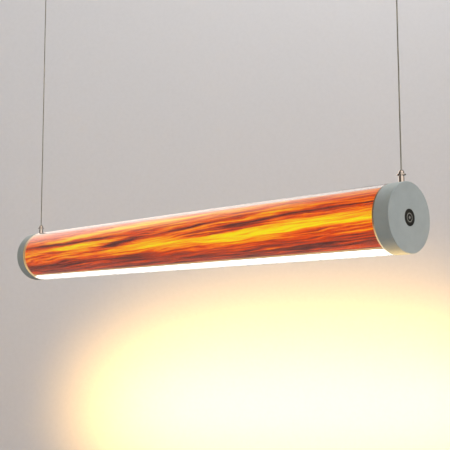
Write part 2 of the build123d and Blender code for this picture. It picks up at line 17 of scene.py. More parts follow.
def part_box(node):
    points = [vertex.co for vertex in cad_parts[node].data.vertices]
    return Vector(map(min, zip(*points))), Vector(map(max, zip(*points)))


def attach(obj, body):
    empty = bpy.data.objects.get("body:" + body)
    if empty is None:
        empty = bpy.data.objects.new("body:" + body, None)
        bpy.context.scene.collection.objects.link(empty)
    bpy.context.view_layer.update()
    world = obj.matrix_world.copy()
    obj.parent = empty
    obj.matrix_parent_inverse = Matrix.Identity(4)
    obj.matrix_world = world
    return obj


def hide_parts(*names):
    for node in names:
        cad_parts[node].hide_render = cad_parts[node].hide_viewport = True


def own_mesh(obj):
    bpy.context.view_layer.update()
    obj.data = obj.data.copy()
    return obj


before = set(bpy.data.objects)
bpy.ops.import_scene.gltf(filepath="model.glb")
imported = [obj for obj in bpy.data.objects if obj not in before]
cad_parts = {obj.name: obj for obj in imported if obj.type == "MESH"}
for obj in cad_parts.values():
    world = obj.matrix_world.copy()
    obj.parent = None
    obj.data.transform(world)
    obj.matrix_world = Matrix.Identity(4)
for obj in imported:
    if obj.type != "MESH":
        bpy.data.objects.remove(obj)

log = logging.getLogger("pendant")

Piece = bpy.types.Object
Tree = bpy.types.NodeTree
Node = bpy.types.Node
Socket = bpy.types.NodeSocket
Shape = bmesh.types.BMesh

MM = 0.001
SMOOTH_BELOW = radians(32)
ORIGIN = Vector((0.0, 0.0, 0.0))
ALONG = Vector((1.0, 0.0, 0.0))
UP = Vector((0.0, 0.0, 1.0))


# ---- small helpers


def linear(hex_code: str) -> tuple[float, float, float, float]:
    """Turns an sRGB hex colour into linear RGBA.

    Args:
        hex_code: six hex digits.

    Returns:
        Red, green, blue and an alpha of 1.
    """
    shares = [int(hex_code[i : i + 2], 16) / 255 for i in (0, 2, 4)]
    channels = [s / 12.92 if s <= 0.04045 else ((s + 0.055) / 1.055) ** 2.4 for s in shares]
    return (channels[0], channels[1], channels[2], 1.0)


@dataclass(frozen=True)
class Field:
    """A number that varies over a surface, and takes part in plain arithmetic.

    Attributes:
        tree: the node tree that works it out.
        socket: the output that carries it.
    """

    tree: Tree
    socket: Socket

    def step(self, operation: str, *others: object) -> "Field":
        """Returns the result of one operation on this number and others."""
        inputs = dict(enumerate((self, *others)))
        return Field(self.tree, add_node(self.tree, "Math", inputs, operation=operation).outputs[0])

    __add__ = partialmethod(step, "ADD")
    __sub__ = partialmethod(step, "SUBTRACT")
    __mul__ = partialmethod(step, "MULTIPLY")
    __truediv__ = partialmethod(step, "DIVIDE")


def add_node(
    tree: Tree,
    kind: str,
    links: dict | None = None,
    stops: tuple[tuple[float, str], ...] = (),
    **settings: object,
) -> Node:
    """Adds one shader node, with its settings and what feeds it.

    Args:
        tree: the node tree that takes the node.
        kind: the node's type, without "ShaderNode".
        links: a field, output or plain value for each input, by its name or number.
        stops: place and hex colour of each stop, for a colour ramp.
        settings: the node's own properties.

    Returns:
        The new node.
    """
    node = tree.nodes.new(f"ShaderNode{kind}")
    for name, value in settings.items():
        setattr(node, name, value)
    for key, value in (links or {}).items():
        source = value.socket if isinstance(value, Field) else value
        if isinstance(source, Socket):
            tree.links.new(source, node.inputs[key])
        else:
            node.inputs[key].default_value = source
    if stops:
        elements = node.color_ramp.elements
        while len(elements) < len(stops):
            elements.new(1.0)
        for element, (place, hex_code) in zip(elements, stops):
            element.position = place
            element.color = linear(hex_code)
    return node


def finish_mesh(name: str, bm: Shape) -> Piece:
    """Turns a bmesh into a smooth-shaded object that stands in the scene.

    Args:
        name: the new object's name.
        bm: the shape, in the frame's own metres. It is freed.

    Returns:
        The new object.
    """
    bmesh.ops.remove_doubles(bm, verts=bm.verts, dist=0.002 * MM)
    bmesh.ops.dissolve_degenerate(bm, edges=bm.edges, dist=0.001 * MM)
    bmesh.ops.recalc_face_normals(bm, faces=bm.faces)
    mesh = bpy.data.meshes.new(name)
    bm.to_mesh(mesh)
    bm.free()
    mesh.shade_smooth()
    mesh.set_sharp_from_angle(angle=SMOOTH_BELOW)
    piece = bpy.data.objects.new(name, mesh)
    bpy.context.scene.collection.objects.link(piece)
    weigh_normals(piece)
    return piece


def weigh_normals(piece: Piece) -> None:
    """Lets large faces set the shading, so that a small rounding doesn't tilt a long wall."""
    piece.modifiers.new("weighted_normals", "WEIGHTED_NORMAL").keep_sharp = True


def soften(bm: Shape, edges: list[bmesh.types.BMEdge], offset: float, segments: int) -> None:
    """Rounds edges with a bevel.

    Args:
        bm: the shape.
        edges: the edges to round.
        offset: how far from each edge the rounding starts.
        segments: flats across the rounding.
    """
    bmesh.ops.bevel(
        bm,
        geom=edges,
        offset=offset,
        offset_type="OFFSET",
        affect="EDGES",
        segments=segments,
        profile=0.5,
        material=-1,
    )


def thread(curve: bpy.types.Curve, kind: str, places: list[Vector]) -> bpy.types.Spline:
    """Adds a spline of the given kind to a curve, with its points at the places."""
    spline = curve.splines.new(kind)
    spline.points.add(len(places) - 1)
    for point, place in zip(spline.points, places):
        point.co = (*place, 1.0)
    return spline


@dataclass(frozen=True)
class Corner:
    """One corner of a turned outline.

    Attributes:
        radius: distance from the axis.
        along: distance along the axis.
        round: radius of the rounding there, or 0 for a sharp corner.
    """

    radius: float
    along: float
    round: float = 0.0


@dataclass(frozen=True)
class Lathe:
    """Turns outlines about one axis.

    Attributes:
        centre: a point on the axis, where an outline's along is 0.
        axis: direction of the axis.
        steps: flats round a full turn.
    """

    centre: Vector
    axis: Vector
    steps: int

    def spun(self, outline: list[Corner], closed: bool = True, into: Shape | None = None) -> Shape:
        """Spins an outline a full turn and rounds its corners.

        Args:
            outline: the corners in order.
            closed: whether the last corner joins the first.
            into: a shape that takes the new one in, if any.

        Returns:
            The turned shape.
        """
        out = self.axis.orthogonal().normalized()
        bm = bmesh.new() if into is None else into
        verts = [bm.verts.new(self.centre + out * c.radius + self.axis * c.along) for c in outline]
        pairs = list(zip(verts, verts[1:])) + ([(verts[-1], verts[0])] if closed else [])
        edges = [bm.edges.new(pair) for pair in pairs]
        bmesh.ops.spin(
            bm,
            geom=verts + edges,
            cent=self.centre,
            axis=self.axis,
            angle=tau,
            steps=self.steps,
            use_merge=True,
        )
        bmesh.ops.remove_doubles(bm, verts=bm.verts, dist=0.001 * MM)
        for corner in outline:
            if corner.round:
                soften(bm, self.rim(bm, corner), corner.round, 4)
        return bm

    def rim(self, bm: Shape, corner: Corner) -> list[bmesh.types.BMEdge]:
        """Finds the edges that one corner of the outline has made."""
        near = 0.001 * MM + 2e-5 * corner.radius

        def on_rim(vert: bmesh.types.BMVert) -> bool:
            """Whether a vertex lies on the corner's circle."""
            offset = vert.co - self.centre
            along = offset.dot(self.axis)
            radius = (offset - self.axis * along).length
            return abs(along - corner.along) < near and abs(radius - corner.radius) < near

        return [edge for edge in bm.edges if all(on_rim(vert) for vert in edge.verts)]

    def turned(self, name: str, outline: list[Corner]) -> Piece:
        """Makes a closed turned piece from its outline."""
        return finish_mesh(name, self.spun(outline))


def arc(radius: float, middle: float, start: float, end: float, points: int) -> list[Corner]:
    """Corners along a round stretch of an outline, centred on the axis.

    Args:
        radius: radius of the stretch.
        middle: its centre's place along the axis.
        start: angle of the first point, from the axis's own direction, in degrees.
        end: angle of the last point.
        points: how many points, ends included.

    Returns:
        The corners, in order.
    """
    angles = [radians(start + (end - start) * i / (points - 1)) for i in range(points)]
    return [Corner(radius * sin(a), middle + radius * cos(a)) for a in angles]


# ---- finishes


class Grain(Enum):
    """Which way a surface's fine lines run: the stretch of its pattern along X, Y and Z."""

    ALONG = (0.02, 1.0, 1.0)
    TURNED = (0.03, 0.03, 1.0)
    EVEN = (1.0, 1.0, 1.0)


@dataclass(frozen=True)
class Finish:
    """A surface finish that is one procedural material.

    Attributes:
        name: name of the material.
        colour: main colour, as sRGB hex.
        shade: second colour that mottles the main one.
        roughness: mean roughness.
        spread: how far roughness strays from its mean.
        metallic: 1 for bare metal, 0 for the rest.
        ior: refractive index, left at Blender's usual 1.5 for a metal.
        grain: which way the fine lines run.
        pitch: distance from one mark to the next, in millimetres.
        relief: height of the marks, in millimetres.
        cloud: size of the mottled patches, in millimetres.
    """

    name: str
    colour: str
    shade: str
    roughness: float = 0.5
    spread: float = 0.08
    metallic: float = 0.0
    ior: float = 1.5
    grain: Grain = Grain.EVEN
    pitch: float = 0.5
    relief: float = 0.01
    cloud: float = 18.0

    def material(self) -> bpy.types.Material:
        """Returns the finish's material, made on first use."""
        made = bpy.data.materials.get(f"finish_{self.name}")
        if made:
            return made
        made = bpy.data.materials.new(f"finish_{self.name}")
        made.use_nodes = True
        tree = made.node_tree
        tree.nodes.clear()
        values = {"Metallic": self.metallic, "IOR": self.ior, "Roughness": self.roughness}
        shader = add_node(tree, "BsdfPrincipled", values)
        add_node(tree, "OutputMaterial", {"Surface": shader.outputs[0]})
        self.dress(tree, shader, add_node(tree, "TexCoord").outputs["Object"])
        return made

    def marks(self, tree: Tree, place: Socket, detail: float) -> Field:
        """Fine marks, stretched the way that the grain runs."""
        stretched = add_node(tree, "Mapping", {"Vector": place, "Scale": self.grain.value})
        values = {"Vector": stretched.outputs[0], "Scale": 1 / (self.pitch * MM), "Detail": detail}
        return Field(tree, add_node(tree, "TexNoise", values).outputs["Fac"])

    def emboss(self, tree: Tree, shader: Node, height: Field, strength: float) -> None:
        """Raises marks into relief of the finish's own height."""
        values = {"Height": height, "Distance": self.relief * MM, "Strength": strength}
        bump = add_node(tree, "Bump", values)
        tree.links.new(bump.outputs["Normal"], shader.inputs["Normal"])

    def dress(self, tree: Tree, shader: Node, place: Socket) -> None:
        """Feeds the shader: mottled colour, uneven roughness and fine relief.

        Args:
            tree: the material's nodes.
            shader: its Principled node.
            place: object coordinates, in metres.
        """
        marks = self.marks(tree, place, 3.0)
        patches = {"Vector": place, "Scale": 1 / (self.cloud * MM), "Detail": 4.0}
        mixed = Field(tree, add_node(tree, "TexNoise", patches).outputs["Fac"]) * marks
        tones = ((0.12, self.shade), (0.34, self.colour))
        tint = add_node(tree, "ValToRGB", {"Fac": mixed}, tones)
        rough = add_node(
            tree,
            "MapRange",
            {
                "Value": marks,
                "From Min": 0.3,
                "From Max": 0.7,
                "To Min": self.roughness - self.spread,
                "To Max": self.roughness + self.spread,
            },
        )
        tree.links.new(tint.outputs["Color"], shader.inputs["Base Color"])
        tree.links.new(rough.outputs["Result"], shader.inputs["Roughness"])
        self.emboss(tree, shader, marks, 0.6)

    def put_on(self, *pieces: Piece) -> None:
        """Gives pieces this finish, in place of whatever they wore."""
        for piece in pieces:
            if not piece.material_slots:
                piece.data.materials.append(None)
            for slot in piece.material_slots:
                slot.material = self.material()


@dataclass(frozen=True)
class GlowingFinish(Finish):
    """A finish that the lamp's own light shines through.

    Attributes:
        glow: colour of the light that comes out, as sRGB hex.
        strength: how bright it is.
    """

    glow: str = "fff6e4"
    strength: float = 1.0

    def dress(self, tree: Tree, shader: Node, place: Socket) -> None:
        """Adds an even glow to the plain finish."""
        super().dress(tree, shader, place)
        shader.inputs["Emission Color"].default_value = linear(self.glow)
        shader.inputs["Emission Strength"].default_value = self.strength


@dataclass(frozen=True)
class ClearAcrylic(Finish):
    """Extruded clear acrylic: glass-like, with faint draw lines that run down the tube."""

    def dress(self, tree: Tree, shader: Node, place: Socket) -> None:
        """Makes the shader let light through, and waves the surface very slightly."""
        shader.inputs["Base Color"].default_value = linear(self.colour)
        shader.inputs["Transmission Weight"].default_value = 1.0
        self.emboss(tree, shader, self.marks(tree, place, 1.0), 0.2)


@dataclass(frozen=True)
class LitSeal(GlowingFinish):
    """Translucent silicone that carries the lamp's light to its edge.

    The faces that look at the lamp's middle catch its light and glow gold; the rest is lit only
    low down, where the white slot shines along it.

    Attributes:
        low: height of the lamp's underside, in metres.
        high: height where the glow has died away, in metres.
    """

    low: float = 0.0
    high: float = 0.0

    def dress(self, tree: Tree, shader: Node, place: Socket) -> None:
        """Makes the glow brightest on the faces and at the heights that the light reaches."""
        super().dress(tree, shader, place)
        axes = add_node(tree, "SeparateXYZ", {0: place})
        normal = add_node(tree, "NewGeometry").outputs["Normal"]
        sideways = add_node(tree, "SeparateXYZ", {0: normal}).outputs["X"]
        outward = Field(tree, sideways) * Field(tree, axes.outputs["X"]).step("SIGN")
        facing = add_node(tree, "MapRange", {"Value": outward, "From Min": -0.8, "From Max": -0.3})
        heights = {"Value": axes.outputs["Z"], "From Min": self.low, "From Max": self.high}
        depth = add_node(tree, "MapRange", heights)
        side_glow = add_node(
            tree,
            "ValToRGB",
            {"Fac": depth.outputs["Result"]},
            ((0.0, "fff4c8"), (0.35, "e8c68c"), (0.6, "5c3a24"), (1.0, "2a1c16")),
        )
        shares = {0: facing.outputs["Result"], 1: linear(self.glow), 2: side_glow.outputs["Color"]}
        glow = add_node(tree, "MixRGB", shares)
        tree.links.new(glow.outputs[0], shader.inputs["Emission Color"])


@dataclass(frozen=True)
class Figure:
    """One long flame in the veneer's figure.

    Attributes:
        along: its middle, along the lamp, in millimetres.
        angle: its middle, round from the top of the tube, in degrees.
        length: its half length, in millimetres.
        width: its half width, in millimetres.
        rise: how many millimetres it climbs for each one along.
        tone: how much lighter it is, or darker if negative.
    """

    along: float
    angle: float
    length: float
    width: float
    rise: float
    tone: float


@dataclass(frozen=True)
class LitVeneer(Finish):
    """Translucent figured veneer, lit from inside.

    The light burns through thin early wood as yellow and is held back by dense late wood as
    red and brown, in flames that run down the tube. The boards inside shine level to the front
    and to the rear, so the shade is brightest at mid height and dark towards its lower edges.

    Attributes:
        axis_height: height of the lamp's axis, in metres.
        radius: radius of the veneer, in metres.
        slot_edge: angle of the veneer's lower edges, from straight up, in degrees.
        slot_glow_width: width of the strip of painted golden glow along them, in metres.
        slot_glow: colour of that painted glow, as sRGB hex.
        figures: the large flames of the figure.
    """

    axis_height: float = 0.0
    radius: float = 46 * MM
    slot_edge: float = 152.0
    slot_glow_width: float = 3.6 * MM
    slot_glow: str = "d8a45e"
    figures: tuple[Figure, ...] = ()

    def dress(self, tree: Tree, shader: Node, place: Socket) -> None:
        """Builds the flame figure on the unrolled sheet and lights it from inside."""

        def noise(row: Field, along: float, across: float, detail: float, seed: float) -> Field:
            """Noise on the sheet, whose features are along by across millimetres."""
            cell = add_node(tree, "CombineXYZ", {0: run / along, 1: row / across, 2: seed})
            values = {"Vector": cell.outputs[0], "Scale": 1.0, "Detail": detail, "Roughness": 0.58}
            return Field(tree, add_node(tree, "TexNoise", values).outputs["Fac"]) - 0.5

        # The sheet unrolled, in millimetres: run along the lamp and around from the top.
        x, y, z = (Field(tree, axis) for axis in add_node(tree, "SeparateXYZ", {0: place}).outputs)
        run = x / MM
        turn = (y * -1.0).step("ARCTAN2", z - self.axis_height)
        lean = turn.step("ABSOLUTE")
        around = turn * (self.radius / MM)

        # The grain wanders, so flames bend and taper.
        wander = noise(around, 260.0, 26.0, 2.0, 3.7) * 16.0
        ripple = noise(around, 55.0, 9.0, 3.0, 8.1) * 5.0
        climb = (around + wander) + (ripple + run * 0.03)

        flames = noise(climb, 190.0, 7.0, 5.0, 1.3)
        streaks = noise(climb, 110.0, 2.4, 4.0, 5.9)
        fibre = noise(climb, 22.0, 0.7, 2.0, 9.4)
        tone = flames * 0.8 + streaks * 1.25 + fibre * 0.35

        # Large flames, each a soft ellipse whose outline the wandering grain has torn.
        torn = (around + (wander + ripple)).step("ABSOLUTE")
        for figure in self.figures:
            ahead = run - figure.along
            off = torn - radians(figure.angle) * self.radius / MM + ahead * figure.rise
            long_way = (ahead / figure.length).step("POWER", 2.0)
            wide_way = (off / figure.width).step("POWER", 2.0)
            share = ((long_way + wide_way) * -1.0).step("EXPONENT")
            tone = tone + share * figure.tone

        level = add_node(tree, "ValToRGB", {"Fac": lean / pi}, LIGHT_BY_HEIGHT)
        burn = add_node(tree, "ValToRGB", {"Fac": tone + level.outputs["Color"]}, WOOD_BY_LIGHT)

        # Along the slot the light slips past the liner: the veneer's last millimetres get a painted
        # golden glow.
        edge = radians(self.slot_edge)
        # Painted glow: the emission turns golden in a thin strip along each lower edge.
        slot_glow_share = add_node(
            tree,
            "MapRange",
            {
                "Value": lean,
                "From Min": edge - self.slot_glow_width / self.radius,
                "From Max": edge - 0.8 * self.slot_glow_width / self.radius,
            },
        )
        shares = {0: slot_glow_share.outputs["Result"], 1: burn.outputs["Color"], 2: linear(self.slot_glow)}
        shown = add_node(tree, "MixRGB", shares)
        shader.inputs["Base Color"].default_value = linear(self.colour)
        shader.inputs["Specular IOR Level"].default_value = 0.15
        tree.links.new(shown.outputs[0], shader.inputs["Emission Color"])
        shader.inputs["Emission Strength"].default_value = 1.0
        self.emboss(tree, shader, fibre, 0.4)


# Light on the shade, round from its top: strongest at mid height, where the side boards face it.
LIGHT_BY_HEIGHT = (
    (0.0, "a4a4a4"),
    (0.30, "a8a8a8"),
    (0.40, "a8a8a8"),
    (0.52, "c4c4c4"),
    (0.60, "a8a8a8"),
    (0.66, "7a7a7a"),
    (0.76, "6c6c6c"),
)
# Colour of the lit wood, from dense and dark to thin and bright.
WOOD_BY_LIGHT = (
    (0.0, "56201a"),
    (0.08, "7e301e"),
    (0.17, "a83a1e"),
    (0.26, "d23c04"),
    (0.36, "f25400"),
    (0.48, "ff8200"),
    (0.62, "ffb000"),
    (0.82, "ffe200"),
)

# Grey powder coat: matte, with a fine dry texture that breaks up the light.
POWDER_COAT = Finish("powder_coat", "9da4a1", "959c99", 0.62, 0.06, pitch=0.45, relief=0.012)
# Black anodised badge: dark satin metal that hardly reflects.
BADGE_BLACK = Finish("badge_black", "23241f", "191a17", 0.42, 0.08, pitch=0.3, relief=0.004)
# Brushed steel emblem: a soft grey gleam with fine lines.
EMBLEM_STEEL = Finish(
    "emblem_steel", "b4b3aa", "96958c", 0.45, 0.08, 0.4, grain=Grain.TURNED, pitch=0.2, relief=0.003
)
# Bright nickel plate on turned brass: a warm mirror with faint lathe rings.
NICKEL = Finish(
    "nickel_plate", "eae7e0", "d8d4cc", 0.2, 0.05, 1.0, grain=Grain.TURNED, pitch=0.12, relief=0.002
)
# Galvanised steel wire: dull grey with a green-grey cast in its lows.
WIRE = Finish("wire_rope_steel", "a8a697", "7c8074", 0.42, 0.1, 0.5, pitch=0.6, relief=0.006)
# Mill-finish aluminium: pale grey with long extrusion lines.
ALUMINIUM = Finish(
    "extruded_aluminium", "c4c6c8", "a9abad", 0.36, metallic=1.0, grain=Grain.ALONG, pitch=0.4,
    relief=0.006,
)
# White stove enamel on the reflector: smooth, with slight orange peel.
ENAMEL = Finish("white_enamel", "f2f2ee", "e6e6e0", 0.32, 0.06, pitch=1.6)
# White solder mask over glass-fibre board: flat white with a faint weave.
BOARD = Finish("board_mask", "eef0ee", "dde0dc", 0.45, 0.05, ior=1.55, pitch=0.8, relief=0.006)
# LED packages: yellow phosphor gel that glows warm.
LED = GlowingFinish("led_phosphor", "f0d27a", "dcb850", 0.35, 0.05, glow="ffe2b0", strength=2.0)
# Zinc-plated steel screws: bluish grey, satin.
ZINC = Finish(
    "zinc_plate", "b4b9bd", "979ca0", 0.3, 0.08, 1.0, grain=Grain.TURNED, pitch=0.25, relief=0.004
)
# Plain brass: yellow metal, dulled by handling.
BRASS = Finish(
    "plain_brass", "c9a659", "a5823e", 0.32, 0.1, 1.0, grain=Grain.TURNED, pitch=0.3, relief=0.004
)
# Natural nylon: milky white with a soft sheen.
NYLON = Finish("nylon_white", "e4e2d8", "d6d3c6", 0.48, 0.06, ior=1.53, pitch=0.7, relief=0.006)
# Moulded black rubber: dull, with a slight bloom.
RUBBER = Finish("grommet_rubber", "26262a", "37373a", 0.78, 0.06, ior=1.52)
# White sleeve on the lead: soft matte plastic.
SLEEVE = Finish("lead_sleeve", "e0ddd2", "d0ccbf", 0.5, 0.06, ior=1.54, pitch=0.9, relief=0.008)
# White liner behind the veneer: thin diffusing film, lit through.
LINER = GlowingFinish(
    "shade_liner", "f4efe2", "e8e0cc", 0.6, 0.05, pitch=1.2, glow="ffdca0", strength=0.8
)
# Translucent silicone end seal: takes the light from inside and glows amber.
SEAL = LitSeal(
    "seal_silicone", "8a7c66", "7a6c56", 0.45, 0.06, ior=1.41, pitch=0.6, glow="e6be7e",
    strength=0.9, low=-0.67, high=-0.60,
)
# Dark wood edging beside the slot: a thin shadow line between the veneer and the white light.
EDGE_BAND = Finish("edge_veneer", "6b4a26", "4c3218", grain=Grain.ALONG, relief=0.02)
# Opal diffuser: even white light, with barely visible lines from its extrusion.
OPAL = GlowingFinish(
    "opal_plastic", "f4f3ee", "e9e7df", 0.35, 0.05, ior=1.49, grain=Grain.ALONG, pitch=1.5,
    glow="fffbf2", strength=1.6,
)
# Frosted bore of the tube along the slot: satin white, filled with the diffuser's light.
FROSTED = GlowingFinish(
    "frosted_acrylic", "f8f8f4", "eeede8", 0.5, 0.05, ior=1.49, grain=Grain.ALONG, pitch=1.2,
    glow="fffcf6", strength=1.5,
)
# Clear acrylic tube: almost invisible but for its edges and the sheen on top.
ACRYLIC = ClearAcrylic(
    "clear_acrylic", "fdfefe", "fdfefe", 0.02, ior=1.49, grain=Grain.ALONG, pitch=9.0, relief=0.004
)
# Matt wall paint: warm pale grey, with the faint stipple of a roller.
PLASTER = Finish("painted_plaster", "c1bfbe", "bebcbb", 0.9, 0.03, pitch=2.5, relief=0.05)


# ---- the lamp's parts


class Side(Enum):
    """One end of the lamp, by the sign of its x."""

    LEFT = -1
    RIGHT = 1

    def node(self, part: str) -> str:
        """Name of this end's own CAD node for a part."""
        return f"{self.name.lower()}_{part}"


@dataclass
class Cable:
    """One free suspension cable: steel strands laid round a straight core.

    Attributes:
        side: the end of the lamp that it carries.
        spacing: distance between the two cables.
        diameter: outer diameter.
        strands: strands in the outer layer.
        lay: length in which a strand goes once round.
        steps: points for each turn of a strand.
    """

    side: Side
    spacing: float = 926.5 * MM
    diameter: float = 2.0 * MM
    strands: int = 6
    lay: float = 14.0 * MM
    steps: int = 12

    def route(self) -> list[Vector]:
        """Points of the cable's line, from the gripper's mouth up to the nipple."""
        x = self.side.value * self.spacing / 2
        heights = (-552.85, -540.85, -38.1, -26.1)
        return [Vector((x, 0.0, height * MM)) for height in heights]

    def centreline(self) -> list[Vector]:
        """Points read from the NURBS spline through the route."""
        curve = bpy.data.curves.new("cable_line", "CURVE")
        curve.dimensions = "3D"
        spline = thread(curve, "NURBS", self.route())
        spline.order_u = 3
        spline.use_endpoint_u = True
        line = bpy.data.objects.new("cable_line", curve)
        mesh = bpy.data.meshes.new_from_object(line)
        points = [vert.co.copy() for vert in mesh.vertices]
        bpy.data.objects.remove(line)
        bpy.data.meshes.remove(mesh)
        return points

    def build(self, cup: Piece) -> Piece:
        """Args:
            cup: the ceiling cup that the cable's top goes into; it is not used.

        Returns:
            The cable as one mesh.
        """
        points = self.centreline()
        foot, top = points[0], points[-1]
        count = round((top - foot).length / self.lay * self.steps)
        strand = self.diameter / 3

        def laid(number: int, step: int) -> Vector:
            """A point of one strand's own line, some steps up the cable."""
            turn = tau * (step / self.steps + number / self.strands)
            return foot.lerp(top, step / count) + Vector((cos(turn), sin(turn), 0.0)) * strand

        curve = bpy.data.curves.new("cable_strands", "CURVE")
        curve.dimensions = "3D"
        curve.bevel_depth = strand / 2
        curve.bevel_resolution = 1
        curve.use_fill_caps = True
        for number in range(self.strands):
            thread(curve, "POLY", [laid(number, step) for step in range(count + 1)])
        thread(curve, "POLY", points)
        bundle = bpy.data.objects.new("cable_strands", curve)
        mesh = bpy.data.meshes.new_from_object(bundle)
        bpy.data.objects.remove(bundle)
        mesh.name = self.side.node("cable_rope")
        mesh.shade_smooth()
        rope = bpy.data.objects.new(mesh.name, mesh)
        bpy.context.scene.collection.objects.link(rope)
        WIRE.put_on(rope)
        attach(rope, self.side.node("cable_run"))
        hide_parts(self.side.node("cable"))
        carried = ("cable_nipple", "swivel_ball", "ceiling_base")
        [self.side.node(part) for part in carried]
        return rope


@dataclass
class TubeAndShade:
    """The clear tube with the rolled veneer, its edge bands and the opal diffuser inside.

    Attributes:
        wall: wall of the tube.
        edge_round: polished rounding on the tube's ends.
        sheet_round: rounding on the edges of the rolled sheets.
        frost_margin: how far the frosting stops short of the slot's edge, in radians.
        band_angle: angle that each edge band covers, in radians.
        liner: thickness of the white liner, whose edge the bands cover too.
        diffuser_wall: thickness of the diffuser.
        diffuser_gap: clearance at its long edges, in radians.
        flats: flats round a full turn.
    """

    wall: float = 3.0 * MM
    edge_round: float = 0.35 * MM
    sheet_round: float = 0.12 * MM
    frost_margin: float = radians(2.4)
    band_angle: float = radians(1.6)
    liner: float = 0.8 * MM
    diffuser_wall: float = 1.6 * MM
    diffuser_gap: float = radians(0.06)
    flats: int = 180

    def __post_init__(self) -> None:
        """Reads the lamp's axis and radii from the frame."""
        low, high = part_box("clear_tube")
        self.radius = high.y
        self.half = high.x
        self.axis_height = (low.z + high.z) / 2
        self.centre = Vector((0.0, 0.0, self.axis_height))
        veneer_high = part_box("veneer_shade")[1]
        self.veneer_radius = veneer_high.z - self.axis_height
        self.sheet_half = veneer_high.x
        self.veneer_thickness = self.veneer_radius - (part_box("shade_liner")[1].z - self.axis_height)
        self.slot_half = asin(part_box("edge_bands")[1].y / self.veneer_radius)
        self.band_depth = self.veneer_thickness + self.liner

    def rolled(self, name: str, depth: float, start: float, sweep: float) -> Piece:
        """Rolls a strip about the lamp's axis, just inside the tube.

        Args:
            name: name of the piece.
            depth: its thickness, inwards from the veneer's radius.
            start: angle of its first edge, from straight down towards the rear, in radians.
            sweep: angle that it covers, in radians.

        Returns:
            The strip as a closed solid with softened long edges.
        """
        bm = bmesh.new()
        outwards = Vector((0.0, sin(start), -cos(start)))
        outer, inner, half = self.veneer_radius, self.veneer_radius - depth, self.sheet_half
        corners = [
            self.centre + outwards * radius + ALONG * x
            for radius, x in ((outer, -half), (outer, half), (inner, half), (inner, -half))
        ]
        face = bm.faces.new([bm.verts.new(corner) for corner in corners])
        bmesh.ops.spin(
            bm,
            geom=[face, *face.edges, *face.verts],
            cent=self.centre,
            axis=ALONG,
            angle=sweep,
            steps=max(6, round(self.flats * abs(sweep) / tau)),
        )
        bmesh.ops.recalc_face_normals(bm, faces=bm.faces)
        rims = [e for e in bm.edges if e.is_manifold and e.calc_face_angle() > SMOOTH_BELOW]
        soften(bm, rims, self.sheet_round, 2)
        return finish_mesh(name, bm)

    def frost(self, tube: Piece, bore: float) -> None:
        """Frosts the tube's bore along the light slot, so that the light fills the wall there.

        Args:
            tube: the clear tube.
            bore: radius of its bore.
        """
        tube.data.materials.append(FROSTED.material())
        for face in tube.data.polygons:
            offset = face.center - self.centre
            radius = Vector((offset.y, offset.z)).length
            lean = abs(atan2(offset.y, -offset.z))
            on_bore = abs(face.normal.x) < 0.1 and radius < bore + 0.1 * MM
            if on_bore and lean < self.slot_half - self.frost_margin:
                face.material_index = 1

    def build(self) -> list[Piece]:
        """Builds and dresses the four pieces.

        Returns:
            The tube, the veneer, the edge bands and the diffuser.
        """
        inside = self.radius - self.wall
        tube = Lathe(self.centre, ALONG, self.flats).turned(
            "tube",
            [
                Corner(self.radius, -self.half, self.edge_round),
                Corner(self.radius, self.half, self.edge_round),
                Corner(inside, self.half, self.edge_round),
                Corner(inside, -self.half, self.edge_round),
            ],
        )
        ACRYLIC.put_on(tube)
        self.frost(tube, inside)

        full = tau - 2 * self.slot_half
        veneer = self.rolled("veneer", self.veneer_thickness, self.slot_half, full)
        figured = LitVeneer(
            "lit_veneer",
            "140702",
            "1c0c08",
            0.5,
            relief=0.05,
            axis_height=self.axis_height,
            radius=self.veneer_radius,
            figures=FLAMES,
        )
        figured.put_on(veneer)

        front = self.rolled("front_edge_band", self.band_depth, -self.slot_half, self.band_angle)
        rear = self.rolled("rear_edge_band", self.band_depth, self.slot_half, -self.band_angle)
        EDGE_BAND.put_on(front, rear)

        reach = self.slot_half - self.band_angle - self.diffuser_gap
        diffuser = self.rolled("diffuser", self.diffuser_wall, -reach, 2 * reach)
        OPAL.put_on(diffuser)

        for piece, node, slot in (
            (tube, "clear_tube", "clear_acrylic"),
            (veneer, "veneer_shade", "veneer"),
            (front, "edge_bands", "edge_veneer"),
            (rear, "edge_bands", "edge_veneer"),
            (diffuser, "opal_diffuser", "opal_plastic"),
        ):
            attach(piece, "lamp")
            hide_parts(node)
        return [tube, veneer, front, rear, diffuser]


# The veneer's large flames, light ones first and then dark ones.
FLAMES = (
    Figure(300, 93, 190, 7, 0.05, 0.30),
    Figure(60, 97, 180, 6, 0.03, 0.24),
    Figure(-240, 83, 130, 4, 0.05, 0.22),
    Figure(-40, 93, 90, 3, 0.05, 0.18),
    Figure(-110, 50, 250, 4.5, 0.045, 0.40),
    Figure(100, 40, 200, 4, 0.04, 0.20),
    Figure(-200, 129, 45, 4, 0.08, 0.12),
    Figure(120, 123, 120, 3, 0.05, 0.10),
    Figure(-125, 84, 60, 5, 0.11, -0.60),
    Figure(-330, 72, 170, 4, 0.02, -0.45),
    Figure(40, 71, 140, 2.5, 0.05, -0.32),
    Figure(190, 78, 110, 3.5, 0.02, -0.45),
    Figure(340, 66, 130, 3, 0.04, -0.32),
    Figure(150, 88, 120, 1.6, 0.04, -0.40),
    Figure(330, 100, 110, 1.6, 0.03, -0.36),
    Figure(-330, 95, 60, 2.5, 0.02, -0.38),
    Figure(-300, 120, 110, 4, 0.02, -0.12),
    Figure(-100, 119, 70, 4, 0.0, -0.12),
    Figure(330, 134, 150, 4, 0.02, -0.12),
)


